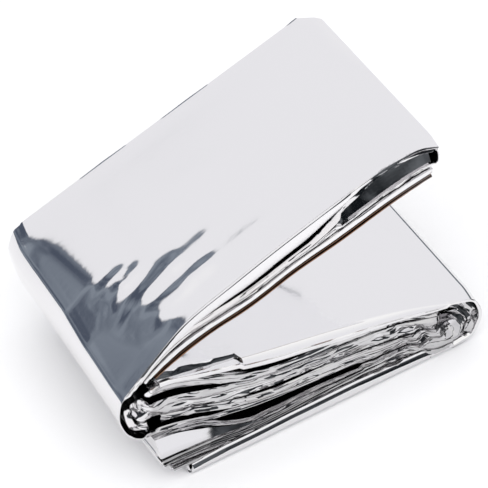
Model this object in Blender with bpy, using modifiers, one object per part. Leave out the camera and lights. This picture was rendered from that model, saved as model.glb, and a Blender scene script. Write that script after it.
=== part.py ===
"""Emergency foil blanket, folded and opened out as three flaps.

A thin metallised sheet, already folded lengthwise into a narrow strip, is laid back and forth
in six plies, and the bundle is bent twice into a Z: a bottom flap that lies flat, a middle flap
above it, and a top flap that springs up from the fold at the left end. The strip is modelled as
one continuous sheet whose long section winds through all three flaps.

Lengths are in millimetres until the mesh is made. X runs along the flaps, Y from the front edge
to the back edge, and Z up. Plies are counted from 1, the lowest in the bottom flap, to 6.
"""

import math
from collections import namedtuple

import bmesh
import bpy
import numpy as np

MM = 0.001

# The folded strip
DEPTH = 80.0
PLIES = 6
SHEET = 1.0
LEAST_GAP = 0.3
PITCH = SHEET + LEAST_GAP

# Where each flap's plies stop and the folds begin
RIGHT_FOLD_X = 104.0
RIGHT_FOLD_REACH = 115.4
LEFT_FOLD_MIDDLE_X = (9.6, 8.6, 7.6, 6.8, 6.0, 4.6)
LEFT_FOLD_TOP_X = (9.8, 9.0, 7.8, 6.4, 4.8, 2.6)
LEFT_FOLD_REACH = (8.3, 6.2, 4.2, 2.3, 0.3, -2.9)

# Ends of the plies: the right end of the top flap, and the left end of the bottom flap
TOP_END_X = (101.2, 101.0, 101.0, 101.9, 101.9, 104.2)
BOTTOM_END_X = (14.2, 14.2, 8.6, 8.6, 6.0, 6.0)
END_TURN_REACH = 2.2

# The bottom flap is turned a little under the others, about the front of the right fold
BOTTOM_TURN = math.radians(4.2)
TURN_PIVOT = (107.0, 0.0)

# Corners of the packet are cut back in plan where the folds pinch
CORNER_DEPTH = 6.0
CORNER_BLEND = 26.0
LEFT_CORNER_CUT = 2.4
TOP_CORNER_CUT = 5.2
FOLD_CORNER_CUT = 0.8
FOLD_BACK_CUT = 2.4

# Stations from the front edge to the back edge
STATIONS = (0.0, 0.8, 2.4, 6.0, 20.0, 38.0, 56.0, 74.0, 80.0)

# The front edge of the topmost ply turns down as a lip: share of its full drop at each station
LIP_SHARE = (1.0, 0.5, 0.14, 0.0, 0.0, 0.0, 0.0, 0.0, 0.0)

# How far each ply's front edge stands forward of the packet's front plane, from ply 1 to ply 6
FRONT_STEP = (0.6, 0.1, 0.6, 0.1, 0.5, 0.3)

POINTS_PER_PLY = 9
POINTS_PER_FOLD = 7
POINTS_PER_END = 4

# A cubic curve with equal pulls at its ends bulges to this share of them
BULGE = 0.75

# The same share at the left fold, where the two pulls differ
LEFT_FOLD_TOP_BULGE = 0.9
LEFT_FOLD_MIDDLE_BULGE = 0.62

# Run over which a ply's slope is measured at a fold
SLOPE_RUN = 2.0

# A point of the strip's section: its ply, the flap it is in, and how far it shares the turn
# of the bottom flap, from 0 to 1
Point = namedtuple("Point", "x z ply flap turned")

# Each flap's lowest and highest ply, as heights of their middle planes at the front and the back
Height = namedtuple("Height", "x low high low_back high_back")
BOTTOM_FLAP = (
    Height(x=4.0, low=0.5, high=8.9, low_back=0.5, high_back=7.8),
    Height(x=24.0, low=0.5, high=8.3, low_back=0.5, high_back=7.5),
    Height(x=44.0, low=0.5, high=7.2, low_back=0.5, high_back=7.2),
    Height(x=74.0, low=0.5, high=7.1, low_back=0.5, high_back=7.1),
    Height(x=104.0, low=0.5, high=7.1, low_back=0.5, high_back=7.1),
)
MIDDLE_FLAP = (
    Height(x=4.0, low=13.9, high=33.0, low_back=12.4, high_back=30.2),
    Height(x=14.0, low=12.9, high=33.1, low_back=11.4, high_back=28.6),
    Height(x=24.0, low=10.6, high=30.6, low_back=10.2, high_back=26.6),
    Height(x=37.0, low=8.7, high=27.0, low_back=8.8, high_back=24.6),
    Height(x=64.0, low=8.6, high=23.5, low_back=8.6, high_back=22.0),
    Height(x=92.0, low=8.6, high=19.7, low_back=8.6, high_back=18.6),
    Height(x=106.0, low=8.6, high=16.5, low_back=8.6, high_back=16.0),
)
TOP_FLAP = (
    Height(x=1.0, low=30.8, high=37.6, low_back=27.0, high_back=36.2),
    Height(x=9.5, low=35.0, high=43.6, low_back=31.4, high_back=39.7),
    Height(x=18.0, low=39.6, high=49.3, low_back=34.6, high_back=42.7),
    Height(x=26.5, low=43.0, high=53.4, low_back=37.8, high_back=46.0),
    Height(x=42.0, low=47.4, high=59.4, low_back=43.7, high_back=52.0),
    Height(x=55.0, low=52.8, high=64.6, low_back=48.6, high_back=57.0),
    Height(x=69.0, low=57.5, high=70.2, low_back=53.8, high_back=62.3),
    Height(x=88.0, low=64.1, high=76.0, low_back=60.7, high_back=69.6),
    Height(x=98.0, low=66.7, high=77.6, low_back=64.3, high_back=73.4),
    Height(x=105.0, low=67.6, high=76.8, low_back=66.8, high_back=76.1),
)

# How the spare height of the flaps is shared among the gaps between neighbouring plies,
# counted from the lowest gap up
Share = namedtuple("Share", "x first second third fourth fifth")
EVEN_SHARES = (Share(x=0.0, first=1.0, second=0.8, third=1.2, fourth=1.0, fifth=0.9),)
TOP_SHARES = (
    Share(x=10.0, first=1.0, second=1.0, third=1.0, fourth=1.0, fifth=2.0),
    Share(x=28.0, first=0.1, second=0.1, third=0.1, fourth=0.1, fifth=3.6),
    Share(x=58.0, first=0.1, second=0.1, third=0.1, fourth=0.4, fifth=3.3),
    Share(x=80.0, first=0.1, second=0.1, third=0.1, fourth=3.5, fifth=0.1),
)

# Two waves along each gap that spread its air unevenly. The shifts are in radians: one for each
# ply counted up, and one from the front edge to the back edge
Wave = namedtuple("Wave", "amount rate ply_shift back_shift")
GAP_WAVES = (
    Wave(amount=0.45, rate=0.11, ply_shift=2.1, back_shift=1.3),
    Wave(amount=0.35, rate=0.047, ply_shift=-1.7, back_shift=3.1),
)

# Full drop of the top ply's front lip
Lip = namedtuple("Lip", "x drop")
TOP_LIP = (
    Lip(x=2.0, drop=0.0),
    Lip(x=12.0, drop=0.5),
    Lip(x=28.0, drop=3.0),
    Lip(x=42.0, drop=4.4),
    Lip(x=58.0, drop=4.0),
    Lip(x=72.0, drop=1.2),
    Lip(x=80.0, drop=0.0),
)


def along(rows, column, x):
    """A table's column at x, as a smooth curve through its rows."""
    xs = np.array([row.x for row in rows])
    values = np.array([getattr(row, column) for row in rows])
    if len(rows) == 1:
        return float(values[0])
    slopes = np.gradient(values, xs)
    x = min(max(x, xs[0]), xs[-1])
    i = min(int(np.searchsorted(xs, x, side="right")) - 1, len(xs) - 2)
    span = xs[i + 1] - xs[i]
    t = (x - xs[i]) / span
    start = (1 + 2 * t) * (1 - t) ** 2 * values[i] + t * (1 - t) ** 2 * span * slopes[i]
    end = t * t * (3 - 2 * t) * values[i + 1] - t * t * (1 - t) * span * slopes[i + 1]
    return float(start + end)


def straight_along(rows, column, x):
    """A table's column at x, straight between its rows."""
    return float(np.interp(x, [row.x for row in rows], [getattr(row, column) for row in rows]))


def ripple(rank, x, back):
    """Uneven spread of the air between plies, different for each gap."""
    return 1.0 + sum(
        wave.amount * math.sin(wave.rate * x + wave.ply_shift * rank + wave.back_shift * back)
        for wave in GAP_WAVES
    )


def flap_height(flap, shares, rank, x, back):
    """Height of one ply's middle plane; rank counts up from the flap's lowest ply."""

    def edge(name, at):
        front = along(flap, name, at)
        return front + (along(flap, name + "_back", at) - front) * back

    low = edge("low", x)
    high = edge("high", x)
    slope = (edge("high", x + 1.0) - edge("high", x - 1.0)) / 2.0
    least = PITCH * math.hypot(1.0, slope)
    spare = max(0.0, high - low - least * (PLIES - 1))
    names = Share._fields[1:]
    weights = []
    for gap, name in enumerate(names):
        front = straight_along(shares, name, x)
        weights.append((front + (1.0 - front) * back) * ripple(gap, x, back))
    return low + rank * least + spare * sum(weights[:rank]) / sum(weights)


def bezier(start, start_pull, end_pull, end, count):
    """Points strictly between the ends of a cubic curve."""
    start, start_pull, end_pull, end = map(np.array, (start, start_pull, end_pull, end))
    points = []
    for i in range(1, count + 1):
        t = i / (count + 1)
        s = 1.0 - t
        points.append(
            s**3 * start + 3 * s * s * t * start_pull + 3 * s * t * t * end_pull + t**3 * end
        )
    return points


def turn(start, direction, end, reach, count):
    """A rounded U-turn between two plies that both run along direction."""
    start = np.array(start)
    end = np.array(end)
    pull = np.array(direction) * reach / BULGE
    return bezier(start, start + pull, end + pull, end, count)


def unit(vector):
    return np.array(vector) / np.linalg.norm(vector)


def ply_line(ply, back):
    """One ply from the top flap's end, round both folds, to the bottom flap's end."""
    index = ply - 1

    def top(x):
        return np.array((x, flap_height(TOP_FLAP, TOP_SHARES, index, x, back)))

    def middle(x):
        return np.array((x, flap_height(MIDDLE_FLAP, EVEN_SHARES, PLIES - ply, x, back)))

    def bottom(x):
        return np.array((x, flap_height(BOTTOM_FLAP, EVEN_SHARES, index, x, back)))

    def spaced(height, start, end):
        return [height(x) for x in np.linspace(start, end, POINTS_PER_PLY)]

    def points(line, flap, turned):
        return [Point(p[0], p[1], ply, flap, share) for p, share in zip(line, turned)]

    top_line = spaced(top, TOP_END_X[index], LEFT_FOLD_TOP_X[index])
    middle_line = spaced(middle, LEFT_FOLD_MIDDLE_X[index], RIGHT_FOLD_X)
    bottom_line = spaced(bottom, RIGHT_FOLD_X, BOTTOM_END_X[index])

    reach = LEFT_FOLD_REACH[index]
    start, end = top_line[-1], middle_line[0]
    rise = unit(top(start[0] + SLOPE_RUN) - start)
    run = unit(middle(end[0] + SLOPE_RUN) - end)
    start_pull = start - rise * (start[0] - reach) / rise[0] / LEFT_FOLD_TOP_BULGE
    end_pull = end - run * (end[0] - reach) / LEFT_FOLD_MIDDLE_BULGE
    left_fold = bezier(start, start_pull, end_pull, end, POINTS_PER_FOLD)

    nest = (PLIES - ply) / (PLIES - 1)
    inner = PITCH / 2
    reach = inner + (RIGHT_FOLD_REACH - RIGHT_FOLD_X - inner) * nest
    right_fold = turn(middle_line[-1], (1.0, 0.0), bottom_line[0], reach, POINTS_PER_FOLD)
    round_fold = np.linspace(0.0, 1.0, POINTS_PER_FOLD + 2)[1:-1]
    turning = round_fold**2 * (3 - 2 * round_fold)

    still, turned = np.zeros(POINTS_PER_PLY), np.ones(POINTS_PER_PLY)
    return (
        points(top_line, "top", still)
        + points(left_fold, "fold", still)
        + points(middle_line, "middle", still)
        + points(right_fold, "fold", turning)
        + points(bottom_line, "bottom", turned)
    )


def end_turn(start, end):
    """The turn that carries the strip from one ply to the next, at an end of the bundle."""
    a, b = np.array((start.x, start.z)), np.array((end.x, end.z))
    direction = np.array((1.0, 0.0)) if start.flap == "top" else np.array((-1.0, 0.0))
    reach = min(np.linalg.norm(b - a) / 2.0, END_TURN_REACH)
    line = turn(a, direction, b, reach, POINTS_PER_END)
    ply = (start.ply + end.ply) / 2
    return [Point(p[0], p[1], ply, start.flap, start.turned) for p in line]


def section(back):
    """The whole strip's path through the packet at one station."""
    path = []
    for ply in range(PLIES, 0, -1):
        line = ply_line(ply, back)
        if (PLIES - ply) % 2 == 1:
            line.reverse()
        if path:
            path += end_turn(path[-1], line[0])
        path += line
    return path


def corner_cut(point, y):
    """How far the corner stations are drawn in, towards the middle of the packet."""
    near = max(0.0, 1.0 - min(y, DEPTH - y) / CORNER_DEPTH)
    left = min(1.0, max(0.0, 1.0 - point.x / CORNER_BLEND))
    right = min(1.0, max(0.0, 1.0 - (RIGHT_FOLD_X - point.x) / CORNER_BLEND))
    at_back = y > DEPTH / 2
    left_cut = LEFT_CORNER_CUT if at_back else 0.0
    fold_cut = FOLD_BACK_CUT if at_back else FOLD_CORNER_CUT
    right_cut = TOP_CORNER_CUT if point.flap == "top" else fold_cut
    return near * (left_cut * left - right_cut * right)


def place(point, station):
    """A section point in the packet, with the bottom flap turned under the others."""
    y = STATIONS[station]
    x = point.x + corner_cut(point, y)
    z = point.z
    if point.flap == "top" and point.ply == PLIES:
        z -= along(TOP_LIP, "drop", point.x) * LIP_SHARE[station]
    step = float(np.interp(point.ply, range(1, PLIES + 1), FRONT_STEP))
    y -= step * (1.0 - y / DEPTH)
    angle = BOTTOM_TURN * point.turned
    dx, dy = x - TURN_PIVOT[0], y - TURN_PIVOT[1]
    turned_x = TURN_PIVOT[0] + dx * math.cos(angle) - dy * math.sin(angle)
    turned_y = TURN_PIVOT[1] + dx * math.sin(angle) + dy * math.cos(angle)
    return turned_x, turned_y, z


def strip_surface(name):
    """The strip's middle surface, lofted through its sections."""
    mesh = bpy.data.meshes.new(name)
    bm = bmesh.new()
    rows = []
    for station, y in enumerate(STATIONS):
        places = [place(point, station) for point in section(y / DEPTH)]
        rows.append([bm.verts.new((x * MM, y * MM, z * MM)) for x, y, z in places])
    for front, back in zip(rows, rows[1:]):
        for i in range(len(front) - 1):
            bm.faces.new((front[i], front[i + 1], back[i + 1], back[i]))
    bmesh.ops.recalc_face_normals(bm, faces=bm.faces)
    bm.to_mesh(mesh)
    bm.free()
    return mesh


def film_material():
    """Silvery metallised film."""
    material = bpy.data.materials.new("metallised_film")
    material.use_nodes = True
    shader = material.node_tree.nodes["Principled BSDF"]
    shader.inputs["Base Color"].default_value = (0.78, 0.79, 0.81, 1.0)
    shader.inputs["Metallic"].default_value = 1.0
    shader.inputs["Roughness"].default_value = 0.12
    return material


def build():
    for old in list(bpy.data.objects):
        bpy.data.objects.remove(old, do_unlink=True)
    collection = bpy.data.collections.new("emergency_foil_blanket")
    bpy.context.scene.collection.children.link(collection)

    blanket = bpy.data.objects.new("foil_blanket", strip_surface("foil_blanket"))
    collection.objects.link(blanket)
    blanket.data.materials.append(film_material())

    shell = blanket.modifiers.new("sheet_thickness", "SOLIDIFY")
    shell.thickness = SHEET * MM
    shell.offset = 0.0
    shell.use_even_offset = True
    shell.use_quality_normals = True

    bpy.context.view_layer.update()
    corners = np.array([tuple(corner) for corner in blanket.bound_box])
    middle = (corners.min(axis=0) + corners.max(axis=0)) / 2.0
    blanket.location = (-middle[0], -middle[1], -corners[:, 2].min())


build()
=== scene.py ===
import math
from collections import namedtuple

import bpy
import numpy as np
from mathutils import Matrix, Vector


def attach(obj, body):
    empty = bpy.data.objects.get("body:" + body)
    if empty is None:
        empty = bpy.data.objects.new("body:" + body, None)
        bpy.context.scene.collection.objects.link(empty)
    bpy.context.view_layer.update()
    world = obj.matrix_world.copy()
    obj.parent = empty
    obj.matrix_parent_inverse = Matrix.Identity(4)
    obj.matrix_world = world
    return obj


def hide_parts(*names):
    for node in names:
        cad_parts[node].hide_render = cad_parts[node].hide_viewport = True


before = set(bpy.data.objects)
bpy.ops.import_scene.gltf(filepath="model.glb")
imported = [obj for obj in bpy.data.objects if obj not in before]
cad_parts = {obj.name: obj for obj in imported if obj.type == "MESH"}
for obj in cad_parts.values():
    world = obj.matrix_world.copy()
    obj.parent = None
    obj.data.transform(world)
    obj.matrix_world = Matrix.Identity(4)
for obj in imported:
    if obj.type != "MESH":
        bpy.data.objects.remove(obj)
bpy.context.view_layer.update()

# ---------------------------------------------------------------------------------------------
# The blanket: one sheet of vacuum-metallised polyester film, folded lengthwise into a strip
# 80 mm deep, laid back and forth in six plies, then bent twice so that three flaps stand apart.
# Sizes are in millimetres: X along the flaps, Y from the front edge to the back, Z up. Plies
# are counted from 1, the lowest in the bottom flap, to 6, and rows of six values go that way.
# ---------------------------------------------------------------------------------------------
MM = 0.001
PACKET_AT = (-55.998, -36.227, 0.0)  # the section's origin in the shared frame
DEPTH = 80.0
PLIES = 6
PLY_PITCH = 0.7  # least distance between the middles of two plies
BOTTOM_PITCH = 0.5  # the same in the bottom flap, which carries the others
FILM_HALF = 0.25  # half the thickness of a ply, behind its front edge
COLUMN_STEP = 1.3  # between two cross-sections along a ply

# Where each flap's plies stop and the folds begin
RIGHT_FOLD_X = 104.0
RIGHT_FOLD_REACH = 115.2
LEFT_FOLD_MIDDLE_X = (9.6, 8.6, 7.6, 6.8, 6.0, 4.6)
LEFT_FOLD_TOP_X = (9.8, 9.0, 7.8, 6.4, 4.8, 1.0)
LEFT_FOLD_REACH = (8.3, 6.4, 4.4, 2.3, 0.1, -2.4)
TOP_END_X = (101.2, 101.0, 101.0, 101.9, 101.9, 104.2)
BOTTOM_END_X = (14.2, 14.2, 8.6, 8.6, 6.0, 6.0)
END_TURN_REACH = 2.2

# Heights of each flap's lowest and highest ply, at the front edge and at the back edge
Height = namedtuple("Height", "x low high low_back high_back")
BOTTOM_FLAP = (
    Height(x=4.0, low=0.5, high=8.9, low_back=0.5, high_back=7.8),
    Height(x=22.0, low=0.5, high=8.0, low_back=0.5, high_back=7.5),
    Height(x=34.0, low=0.5, high=6.2, low_back=0.5, high_back=7.2),
    Height(x=44.0, low=0.5, high=6.2, low_back=0.5, high_back=7.2),
    Height(x=60.0, low=0.5, high=7.0, low_back=0.5, high_back=7.1),
    Height(x=104.0, low=0.5, high=7.1, low_back=0.5, high_back=7.1),
)
MIDDLE_FLAP = (
    Height(x=4.0, low=13.9, high=33.0, low_back=12.4, high_back=30.2),
    Height(x=14.0, low=12.9, high=33.1, low_back=11.4, high_back=28.6),
    Height(x=24.0, low=10.6, high=30.6, low_back=10.2, high_back=26.6),
    Height(x=37.0, low=8.7, high=27.4, low_back=8.8, high_back=24.6),
    Height(x=64.0, low=8.6, high=23.9, low_back=8.6, high_back=22.0),
    Height(x=92.0, low=8.6, high=20.0, low_back=8.6, high_back=18.6),
    Height(x=106.0, low=8.6, high=16.8, low_back=8.6, high_back=16.0),
)
TOP_FLAP = (
    Height(x=1.0, low=28.4, high=31.4, low_back=27.0, high_back=36.0),
    Height(x=9.5, low=34.5, high=39.3, low_back=31.4, high_back=39.5),
    Height(x=18.0, low=39.0, high=46.9, low_back=34.6, high_back=42.6),
    Height(x=26.5, low=42.6, high=52.2, low_back=37.8, high_back=46.0),
    Height(x=42.0, low=47.4, high=59.9, low_back=43.7, high_back=52.0),
    Height(x=55.0, low=52.8, high=65.1, low_back=48.6, high_back=57.0),
    Height(x=69.0, low=57.5, high=70.6, low_back=53.8, high_back=62.3),
    Height(x=88.0, low=64.5, high=76.5, low_back=60.7, high_back=69.6),
    Height(x=98.0, low=67.5, high=78.0, low_back=64.3, high_back=73.4),
    Height(x=105.0, low=69.3, high=76.6, low_back=66.8, high_back=76.1),
)

# How the air between neighbouring plies is shared, counted from the flap's lowest gap up
Share = namedtuple("Share", "x first second third fourth fifth")
BOTTOM_SHARES = (
    Share(x=14.0, first=1.6, second=0.6, third=1.0, fourth=0.8, fifth=0.9),
    Share(x=27.0, first=0.9, second=0.7, third=1.0, fourth=0.9, fifth=0.9),
    Share(x=46.0, first=2.4, second=0.4, third=0.5, fourth=0.4, fifth=0.6),
    Share(x=66.0, first=3.0, second=0.4, third=0.5, fourth=0.4, fifth=0.5),
    Share(x=84.0, first=2.2, second=0.5, third=0.6, fourth=0.5, fifth=0.6),
    Share(x=104.0, first=1.0, second=0.9, third=1.0, fourth=1.0, fifth=0.9),
)
MIDDLE_SHARES = (
    Share(x=4.0, first=1.0, second=1.0, third=1.1, fourth=1.0, fifth=1.1),
    Share(x=30.0, first=0.9, second=1.0, third=0.9, fourth=0.9, fifth=1.9),
    Share(x=60.0, first=0.9, second=0.8, third=0.8, fourth=1.0, fifth=1.7),
    Share(x=86.0, first=0.9, second=0.9, third=0.9, fourth=1.0, fifth=1.3),
    Share(x=104.0, first=1.0, second=1.0, third=1.0, fourth=1.0, fifth=1.0),
)
TOP_SHARES = (
    Share(x=10.0, first=1.0, second=1.0, third=1.0, fourth=1.0, fifth=2.0),
    Share(x=28.0, first=0.3, second=0.1, third=0.2, fourth=0.1, fifth=3.6),
    Share(x=62.0, first=0.3, second=0.1, third=0.2, fourth=0.3, fifth=3.4),
    Share(x=83.0, first=0.2, second=0.1, third=0.2, fourth=3.5, fifth=0.1),
)


def smooth(x, xs, values):
    """A smooth curve through a short table, held level past its ends."""
    xs, values = np.array(xs, float), np.array(values, float)
    slopes = np.gradient(values, xs)
    x = np.clip(x, xs[0], xs[-1])
    i = np.clip(np.searchsorted(xs, x, side="right") - 1, 0, len(xs) - 2)
    span = xs[i + 1] - xs[i]
    t = (x - xs[i]) / span
    start = (1 + 2 * t) * (1 - t) ** 2 * values[i] + t * (1 - t) ** 2 * span * slopes[i]
    return start + t * t * (3 - 2 * t) * values[i + 1] - t * t * (1 - t) * span * slopes[i + 1]


def ply_height(flap, pitch, shares, rank, x, back):
    """Height of one ply, at the front (back=0) or the back edge (1); rank 0 is the lowest."""

    def edge(name, at):
        xs = [row.x for row in flap]
        front, rear = (smooth(at, xs, [getattr(row, field) for row in flap])
                       for field in (name, name + "_back"))
        return front + (rear - front) * back

    low, high = edge("low", x), edge("high", x)
    slope = (edge("high", x + 1.0) - edge("high", x - 1.0)) / 2.0
    least = min(pitch * math.hypot(1.0, slope), (high - low) / (PLIES - 1))
    spare = max(0.0, high - low - least * (PLIES - 1))
    weights = []
    for gap, name in enumerate(Share._fields[1:]):
        front = float(np.interp(x, [s.x for s in shares], [getattr(s, name) for s in shares]))
        wave = 0.30 * math.sin(0.11 * x + 2.1 * gap + 1.3 * back)
        wave += 0.25 * math.sin(0.047 * x - 1.7 * gap + 3.1 * back)
        weights.append((front + (1.0 - front) * back) * (1.0 + wave))
    return low + rank * least + spare * sum(weights[:rank]) / sum(weights)


# The top film is straight at the back edge, bowed at the front one, and falls away steeply at
# its left front corner, as far right as this at each depth
TOP_BACK_Z, TOP_BACK_SLOPE = 36.3, 0.385
TOP_FRONT_X = (0, 10, 20, 26.5, 37, 42.7, 55, 68.7, 80, 91, 98, 104)
TOP_FRONT_Z = (40.4, 45.0, 49.4, 52.6, 57.2, 59.8, 65.1, 70.5, 74.5, 77.5, 78.3, 76.6)
TOP_FRONT_SLOPE = 0.45  # left of the table
STEEP_DEPTH = (0, 5, 25, 39, 51, 62, 68, 75, 80)
STEEP_X = (20.5, 20.0, 15.0, 8.2, 6.7, 5.3, 3.8, 0.9, -1.0)
STEEP_SLOPE, STEEP_BLEND = 0.47, 2.6


def film_height(x, depth):
    """Height of the top film at x, at one depth behind the front edge."""
    near = smooth(np.maximum(x, 0), TOP_FRONT_X, TOP_FRONT_Z) + TOP_FRONT_SLOPE * np.minimum(x, 0)
    height = near + (TOP_BACK_Z + TOP_BACK_SLOPE * x - near) * (depth / DEPTH)
    past = np.interp(depth, STEEP_DEPTH, STEEP_X) - x
    return height - STEEP_SLOPE * 0.5 * (past + np.sqrt(past * past + STEEP_BLEND**2))


def curve(start, start_pull, end_pull, end, count):
    """Points strictly between the ends of a cubic curve."""
    t = (np.arange(1, count + 1) / (count + 1))[:, None]
    s = 1.0 - t
    return s**3 * start + 3 * s * s * t * start_pull + 3 * s * t * t * end_pull + t**3 * end


def rounded(corners, cuts, count):
    """Points along a line of corners, each rounded off by cutting it a few times."""
    line = np.array(corners, float)
    for _ in range(cuts):
        a, b = line[:-1], line[1:]
        cut = np.stack((a * 0.75 + b * 0.25, a * 0.25 + b * 0.75), axis=1).reshape(-1, 2)
        line = np.vstack((line[:1], cut, line[-1:]))
    run = np.concatenate(((0.0,), np.cumsum(np.hypot(*np.diff(line, axis=0).T))))
    at = np.linspace(0, run[-1], count + 2)[1:-1]
    return np.column_stack((np.interp(at, run, line[:, 0]), np.interp(at, run, line[:, 1])))


# The stretches of the strip: three flaps, the folds between them, and the turns at a ply's end
TOP, LEFT, MIDDLE, RIGHT, BOTTOM, TOP_END, BOTTOM_END = range(7)

# The outermost ply at each fold between flaps: its corners at the front edge and at the back
SPINE_FRONT = ((-0.6, 30.2), (-1.2, 29.3), (-2.2, 25.4), (-2.4, 22.4), (-0.8, 17.4), (1.6, 14.2))
SPINE_BACK = ((-1.0, 35.4), (-1.6, 35.0), (-3.6, 31.4), (-4.3, 28.8), (-3.6, 21.0), (-0.4, 13.2))
WRAP_FRONT = ((109.8, 16.4), (112.2, 15.7), (113.6, 14.4), (115.6, 9.2), (114.4, 5.4), (112.2, 1.6),
              (109.0, 0.5))
WRAP_BACK = ((111.6, 15.5), (113.4, 15.2), (114.4, 14.2), (115.6, 9.0), (114.8, 4.6), (112.8, 1.2),
             (109.6, 0.5))
FINE_UP_TO_X, FINE_STEP = 30.0, 0.6  # the creased end of the top film is divided more finely


def ply_path(ply, back):
    """One ply's path as rows of x, z, where and share, from the top flap's end to the bottom's."""
    index = ply - 1

    def top(x):
        if ply == PLIES:
            return np.array((x, float(film_height(np.array(x), DEPTH * back))))
        return np.array((x, ply_height(TOP_FLAP, PLY_PITCH, TOP_SHARES, index, x, back)))

    def middle(x):
        height = ply_height(MIDDLE_FLAP, PLY_PITCH, MIDDLE_SHARES, PLIES - ply, x, back)
        return np.array((x, height))

    def bottom(x):
        return np.array((x, ply_height(BOTTOM_FLAP, BOTTOM_PITCH, BOTTOM_SHARES, index, x, back)))

    def run(height, start, end):
        count = int(abs(end - start) / COLUMN_STEP) + 1
        return np.array([height(x) for x in np.linspace(start, end, count)])

    top_run = run(top, TOP_END_X[index], LEFT_FOLD_TOP_X[index])
    if ply == PLIES:
        fine = np.arange(FINE_UP_TO_X, LEFT_FOLD_TOP_X[index] - 0.1, -FINE_STEP)
        top_run = np.vstack((run(top, TOP_END_X[index], FINE_UP_TO_X + 1.0), [top(x) for x in fine]))
    middle_run = run(middle, LEFT_FOLD_MIDDLE_X[index], RIGHT_FOLD_X)
    bottom_run = run(bottom, RIGHT_FOLD_X, BOTTOM_END_X[index])

    # The left fold sets out in line with the top flap and comes in in line with the middle one
    reach = LEFT_FOLD_REACH[index]
    start, end = top_run[-1], middle_run[0]
    rise = top(start[0] + 2.0) - start
    away = middle(end[0] + 2.0) - end
    start_pull = start - rise * (start[0] - reach) / rise[0] / 0.9
    end_pull = end - away / np.hypot(*away) * (end[0] - reach) / 0.62
    left = curve(start, start_pull, end_pull, end, 10 + 4 * index)
    if ply == PLIES:
        left = rounded((start, *(SPINE_BACK if back else SPINE_FRONT), end), 3, 44)

    # In the right fold each ply lies inside the one below it
    nest = (PLIES - ply) / (PLIES - 1)
    reach = PLY_PITCH / 2 + (RIGHT_FOLD_REACH - RIGHT_FOLD_X - PLY_PITCH / 2) * nest
    pull = np.array((reach / 0.75, 0.0))
    start, end = middle_run[-1], bottom_run[0]
    right = curve(start, start + pull, end + pull, end, 10 + 4 * (PLIES - ply))
    if ply == 1:
        right = rounded((start, *(WRAP_BACK if back else WRAP_FRONT), end), 3 if back else 2, 40)

    rows = []
    for part, where in ((top_run, TOP), (left, LEFT), (middle_run, MIDDLE), (right, RIGHT),
                        (bottom_run, BOTTOM)):
        share = (np.arange(len(part)) + 1) / (len(part) + 1)
        rows.append(np.column_stack((part, np.full(len(part), where), share)))
    return np.vstack(rows)


def strip_path(back):
    """The whole strip: rows of x, z, where, share along the bend, and ply."""
    path = []
    for ply in range(PLIES, 0, -1):
        rows = ply_path(ply, back)
        rows = np.column_stack((rows, np.full(len(rows), float(ply))))
        if (PLIES - ply) % 2 == 1:
            rows = rows[::-1]
        if path:
            # A small round turn at the end of the top or the bottom flap
            a, b = path[-1][-1], rows[0]
            at_top = a[2] == TOP
            reach = min(np.hypot(*(b[:2] - a[:2])) / 2.0, END_TURN_REACH)
            pull = np.array((reach if at_top else -reach, 0.0))
            bend = rounded((a[:2], a[:2] + pull, b[:2] + pull, b[:2]), 2, 7)
            share = (np.arange(7) + 1) / 8
            where = np.full(7, TOP_END if at_top else BOTTOM_END)
            path.append(np.column_stack((bend, where, share, np.full(7, ply + 0.5))))
        path.append(rows)
    return np.vstack(path)


def path_normals(points):
    """The direction across the strip at each point, to its left-hand side."""
    run = np.gradient(points, axis=0)
    run /= np.hypot(run[:, 0], run[:, 1])[:, None]
    return np.column_stack((-run[:, 1], run[:, 0]))


NOTHING_NEAR = 99.0


def free_space(points, normals):
    """Distance from each point along its normal, and against it, to the next part of the path."""
    a, d = points[:-1], np.diff(points, axis=0)
    ahead, behind = np.full((2, len(points)), NOTHING_NEAR)
    index = np.arange(len(a))
    for k in range(len(points)):
        n, gap = normals[k], a - points[k]
        across = n[0] * d[:, 1] - n[1] * d[:, 0]
        across = np.where(np.abs(across) < 1e-9, 1e-9, across)
        t = (gap[:, 0] * d[:, 1] - gap[:, 1] * d[:, 0]) / across
        u = (gap[:, 0] * n[1] - gap[:, 1] * n[0]) / across
        hit = (u >= 0) & (u <= 1) & (np.abs(index + 0.5 - k) > 3)
        ahead[k] = min([NOTHING_NEAR, *t[hit & (t > 0.05)]])
        behind[k] = min([NOTHING_NEAR, *-t[hit & (t < -0.05)]])
    return ahead, behind


# One column of each of these arrays is one cross-section of the strip, along its whole length
front_rows, back_rows = strip_path(0.0), strip_path(1.0)
where, bend_share, ply = front_rows[:, 2].astype(int), front_rows[:, 3], front_rows[:, 4]
front, back = front_rows[:, :2], back_rows[:, :2]
front_normal, back_normal = path_normals(front), path_normals(back)
front_free = free_space(front, front_normal)
back_free = free_space(back, back_normal)
columns = len(front)
x0 = front[:, 0]
path_length = np.concatenate(((0.0,), np.cumsum(np.hypot(*np.diff(front, axis=0).T))))
in_flap = np.isin(where, (TOP, MIDDLE, BOTTOM))
outermost = (ply > PLIES - 0.4) & np.isin(where, (TOP, LEFT))
outermost |= (ply < 1.4) & np.isin(where, (RIGHT, MIDDLE))

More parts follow.
